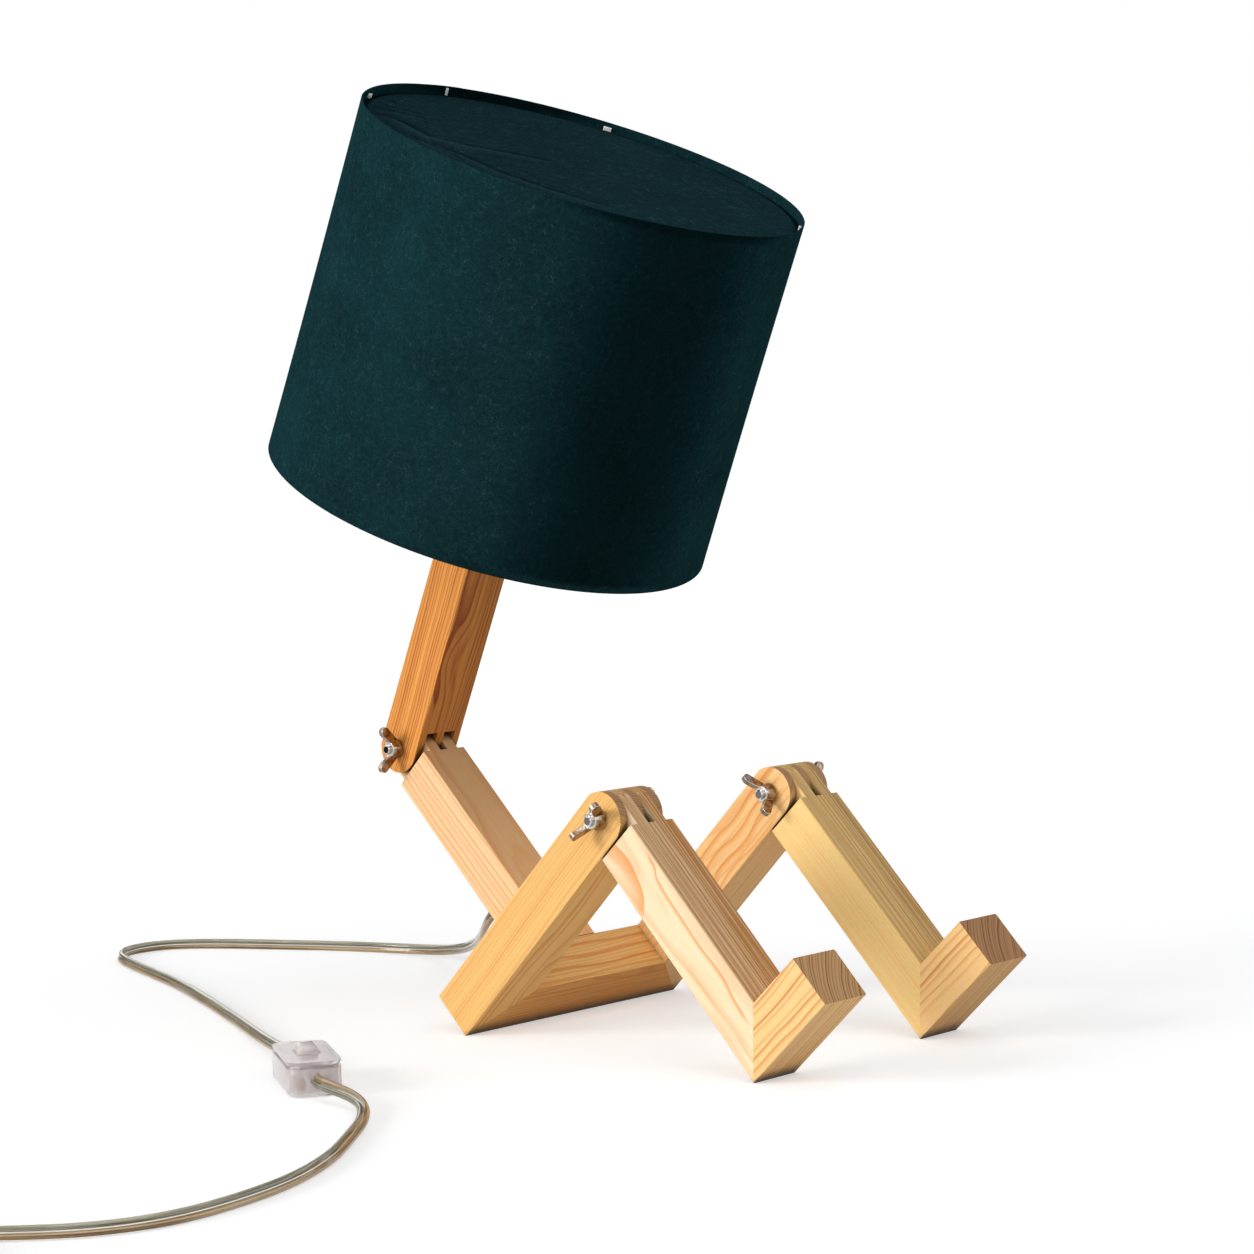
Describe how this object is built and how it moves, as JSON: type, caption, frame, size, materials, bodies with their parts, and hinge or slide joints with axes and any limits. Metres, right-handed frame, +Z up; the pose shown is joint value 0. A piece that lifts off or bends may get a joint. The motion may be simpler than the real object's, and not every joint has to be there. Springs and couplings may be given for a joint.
{
  "type": "jointed robot shaped desk lamp",
  "caption": "Seated figure of jointed pine bars with a dark teal drum shade for a head; wing nuts clamp its neck and knees, and a clear flex runs to an inline switch and plug.",
  "frame": {"origin": "on the table, under the middle of the lamp's box without its flex", "axes": "+Z up, the figure faces -Y, its left side is +X"},
  "size_m": [0.7305, 0.6132, 0.5135],
  "materials": {
    "crossbar_pine": "satin",
    "right_thigh_pine": "satin",
    "left_thigh_pine": "satin",
    "torso_pine": "satin",
    "neck_pine": "satin",
    "right_shin_pine": "satin",
    "left_shin_pine": "satin",
    "right_foot_pine": "satin",
    "left_foot_pine": "satin",
    "dowel_wood": "matte",
    "zinc_steel": "satin",
    "ring_steel": "satin",
    "brass": "satin",
    "holder_plastic": "gloss",
    "holder_insert": "matte",
    "bulb_glass": "frosted",
    "bulb_metal": "satin",
    "shade_cloth": "matte",
    "clip_plastic": "matte",
    "clear_flex": "clear",
    "clear_case": "clear",
    "clear_plug": "clear",
    "pin_metal": "gloss",
    "bush_plastic": "clear"
  },
  "bodies": {
    "seat": {"hip_crossbar": "crossbar_pine", "right_thigh": "right_thigh_pine", "left_thigh": "left_thigh_pine", "hip_dowels": "dowel_wood", "torso": "torso_pine", "torso_dowels": "dowel_wood", "flex_bush": "bush_plastic", "torso_lead": "clear_flex", "right_knee_stud": "zinc_steel", "right_knee_washers": "zinc_steel", "left_knee_stud": "zinc_steel", "left_knee_washers": "zinc_steel", "supply_flex": "clear_flex", "switch_lower_shell": "clear_case", "switch_upper_shell": "clear_case", "switch_rocker_pin": "zinc_steel", "switch_terminals": "brass", "switch_screws": "zinc_steel", "flex_after_switch": "clear_flex", "flex_coil": "clear_flex", "plug_flex": "clear_flex", "plug_body": "clear_plug", "plug_pins": "pin_metal"},
    "right_leg": {"right_shin": "right_shin_pine", "right_foot": "right_foot_pine", "right_ankle_dowels": "dowel_wood"},
    "left_leg": {"left_shin": "left_shin_pine", "left_foot": "left_foot_pine", "left_ankle_dowels": "dowel_wood"},
    "head": {"neck": "neck_pine", "neck_lead": "clear_flex", "neck_stud": "zinc_steel", "neck_washers": "zinc_steel", "lampholder_nipple": "zinc_steel", "lampholder_cap": "holder_plastic", "lampholder_body": "holder_plastic", "lampholder_insert": "holder_insert", "lampholder_contact": "brass", "lampholder_screw_shell": "brass"},
    "shade": {"shade_fabric": "shade_cloth", "shade_upper_ring": "ring_steel", "shade_fitter": "ring_steel", "shade_cover": "shade_cloth", "shade_cover_hoop": "ring_steel", "shade_clips": "clip_plastic"},
    "shade_nut": {"shade_nut": "holder_plastic"},
    "bulb": {"bulb_cap": "bulb_metal", "bulb_globe": "bulb_glass"},
    "rocker": {"switch_rocker": "clear_case"},
    "right_knee_right_wing_nut": {"right_knee_right_wing_nut": "zinc_steel"},
    "right_knee_left_wing_nut": {"right_knee_left_wing_nut": "zinc_steel"},
    "left_knee_right_wing_nut": {"left_knee_right_wing_nut": "zinc_steel"},
    "left_knee_left_wing_nut": {"left_knee_left_wing_nut": "zinc_steel"},
    "neck_right_wing_nut": {"neck_right_wing_nut": "zinc_steel"},
    "neck_left_wing_nut": {"neck_left_wing_nut": "zinc_steel"}
  },
  "joints": [
    {"name": "neck_hinge", "type": "hinge", "parent": "seat", "child": "head", "pos_m": [0, 0.15424, 0.14077], "axis": [1, 0, 0], "range_deg": [-69, 26]},
    {"name": "right_knee", "type": "hinge", "parent": "seat", "child": "right_leg", "pos_m": [-0.067, -0.06443, 0.12218], "axis": [1, 0, 0], "range_deg": [-110, 4]},
    {"name": "left_knee", "type": "hinge", "parent": "seat", "child": "left_leg", "pos_m": [0.067, -0.06443, 0.12218], "axis": [1, 0, 0], "range_deg": [-110, 4]},
    {"name": "shade_turn", "type": "hinge", "parent": "head", "child": "shade", "pos_m": [0, 0.07768, 0.31685], "axis": [0, -0.3987, 0.9171], "continuous": true},
    {"name": "shade_nut_turn", "type": "hinge", "parent": "head", "child": "shade_nut", "pos_m": [0, 0.07648, 0.3196], "axis": [0, -0.3987, 0.9171], "continuous": true},
    {"name": "bulb_turn", "type": "hinge", "parent": "head", "child": "bulb", "pos_m": [0, 0.07847, 0.31501], "axis": [0, -0.3987, 0.9171], "continuous": true},
    {"name": "switch_rocker", "type": "hinge", "parent": "seat", "child": "rocker", "pos_m": [-0.219, 0.0088, 0.0112], "axis": [-0.848, 0.5299, 0], "range_deg": [0, 14]},
    {"name": "right_knee_right_wing_nut_turn", "type": "hinge", "parent": "seat", "child": "right_knee_right_wing_nut", "pos_m": [-0.084, -0.06443, 0.12218], "axis": [-1, 0, 0], "continuous": true},
    {"name": "right_knee_left_wing_nut_turn", "type": "hinge", "parent": "seat", "child": "right_knee_left_wing_nut", "pos_m": [-0.05, -0.06443, 0.12218], "axis": [1, 0, 0], "continuous": true},
    {"name": "left_knee_right_wing_nut_turn", "type": "hinge", "parent": "seat", "child": "left_knee_right_wing_nut", "pos_m": [0.05, -0.06443, 0.12218], "axis": [-1, 0, 0], "continuous": true},
    {"name": "left_knee_left_wing_nut_turn", "type": "hinge", "parent": "seat", "child": "left_knee_left_wing_nut", "pos_m": [0.084, -0.06443, 0.12218], "axis": [1, 0, 0], "continuous": true},
    {"name": "neck_right_wing_nut_turn", "type": "hinge", "parent": "head", "child": "neck_right_wing_nut", "pos_m": [-0.017, 0.15424, 0.14077], "axis": [-1, 0, 0], "continuous": true},
    {"name": "neck_left_wing_nut_turn", "type": "hinge", "parent": "head", "child": "neck_left_wing_nut", "pos_m": [0.017, 0.15424, 0.14077], "axis": [1, 0, 0], "continuous": true}
  ]
}
